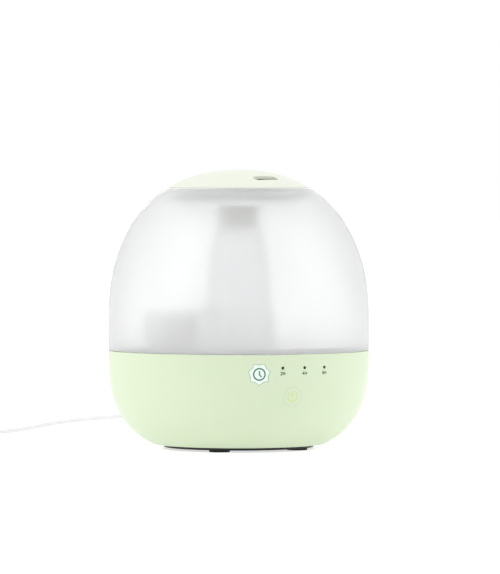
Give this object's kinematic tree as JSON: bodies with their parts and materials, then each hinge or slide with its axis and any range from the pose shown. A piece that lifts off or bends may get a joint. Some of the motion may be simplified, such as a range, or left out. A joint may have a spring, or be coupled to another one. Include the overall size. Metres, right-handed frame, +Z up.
{
  "type": "cool mist humidifier",
  "caption": "Globe-shaped top-fill cool mist humidifier: frosted water tank on a pale green bowl base, lift-off turning lid with mist slot, flush keys and a USB cord.",
  "frame": {"origin": "middle of the plane that the four feet stand on", "axes": "+Z up, -Y is the front with the keys and the lights, +Y is the back with the cord"},
  "size_m": [0.2625, 0.3562, 0.203],
  "materials": {
    "pale_green_plastic": "satin moulded plastic, pale yellow-green",
    "lid_green_plastic": "satin moulded plastic, very pale green",
    "mint_key_plastic": "satin, whitish mint",
    "frosted_tank_plastic": "frosted translucent water tank",
    "clear_inner_plastic": "translucent moulded plastic",
    "milky_floor_plastic": "milky translucent moulded plastic",
    "white_plastic": "satin white moulded plastic",
    "cord_plastic": "soft white cord sheath",
    "dark_plastic": "black moulded plastic, light texture",
    "lamp_plastic": "small lamp bodies",
    "smoked_lens": "dark smoked lens",
    "black_rubber": "matt rubber",
    "clear_seal_rubber": "milky silicone seal",
    "circuit_board": "green circuit board",
    "heat_sink_aluminium": "plain extruded aluminium",
    "transducer_steel": "plain metal",
    "screw_steel": "zinc-plated steel",
    "plug_metal": "nickel-plated plug contacts",
    "magnet_metal": "ferrite ring"
  },
  "bodies": {
    "base": {"base_shell": "pale_green_plastic", "bottom_cover": "dark_plastic", "rubber_feet": "black_rubber", "cover_screws": "screw_steel", "basin_tray": "white_plastic", "transducer_disc": "transducer_steel", "transducer_seal": "black_rubber", "transducer_clamp": "screw_steel", "clamp_screws": "screw_steel", "level_sensor": "circuit_board", "float_clip": "white_plastic", "fan_housing": "dark_plastic", "fan_lid": "dark_plastic", "fan_motor": "transducer_steel", "fan_screws": "screw_steel", "air_duct": "white_plastic", "driver_board": "circuit_board", "heat_sink": "heat_sink_aluminium", "board_components": "dark_plastic", "board_screws": "screw_steel", "control_board": "circuit_board", "panel_screws": "screw_steel", "tact_switches": "dark_plastic", "status_leds": "lamp_plastic", "light_pipes": "smoked_lens", "dc_jack": "dark_plastic", "dc_plug_barrel": "plug_metal", "dc_plug": "cord_plastic", "cord_lead": "cord_plastic", "cord_coil": "cord_plastic", "cord_tail": "cord_plastic", "cord_tie": "black_rubber", "usb_plug_grip": "cord_plastic", "usb_plug_shell": "plug_metal"},
    "timer_key": {"timer_button": "mint_key_plastic"},
    "power_key": {"power_button": "pale_green_plastic"},
    "float": {"float_ring": "white_plastic", "float_magnet": "magnet_metal"},
    "impeller": {"fan_impeller": "white_plastic", "fan_shaft": "screw_steel"},
    "tank": {"tank_shell": "frosted_tank_plastic", "tank_floor": "milky_floor_plastic", "mist_chimney": "clear_inner_plastic", "valve_cap": "white_plastic", "valve_gasket": "black_rubber", "valve_cage": "white_plastic", "valve_spring": "screw_steel"},
    "valve": {"valve_stem": "screw_steel", "valve_disc": "black_rubber"},
    "lid": {"lid_plate": "white_plastic", "lid_skirt": "white_plastic", "lid_seal": "clear_seal_rubber"},
    "cover": {"lid_cover": "lid_green_plastic", "mist_duct": "lid_green_plastic"}
  },
  "joints": [
    {"name": "tank_lift", "type": "slide", "parent": "base", "child": "tank", "axis": [0, 0, 1], "range_m": [0, 0.06]},
    {"name": "lid_lift", "type": "slide", "parent": "tank", "child": "lid", "axis": [0, 0, 1], "range_m": [0, 0.05]},
    {"name": "lid_turn", "type": "hinge", "parent": "lid", "child": "cover", "pos_m": [0, 0, 0.19], "axis": [0, 0, 1], "continuous": true},
    {"name": "float_rise", "type": "slide", "parent": "base", "child": "float", "axis": [0, 0, 1], "range_m": [0, 0.008]},
    {"name": "valve_open", "type": "slide", "parent": "tank", "child": "valve", "axis": [0, 0, 1], "range_m": [0, 0.003], "stiffness_N_per_m": 150, "springref_m": -0.006, "deforming": ["valve_spring"]},
    {"name": "fan_spin", "type": "hinge", "parent": "base", "child": "impeller", "pos_m": [-0.033, 0, 0.018], "axis": [0, 0, 1], "continuous": true},
    {"name": "timer_press", "type": "slide", "parent": "base", "child": "timer_key", "axis": [0.2685, 0.9617, 0.0542], "range_m": [0, 0.0008], "stiffness_N_per_m": 500, "springref_m": -0.001},
    {"name": "power_press", "type": "slide", "parent": "base", "child": "power_key", "axis": [0, 0.9757, 0.2191], "range_m": [0, 0.0008], "stiffness_N_per_m": 500, "springref_m": -0.001}
  ]
}
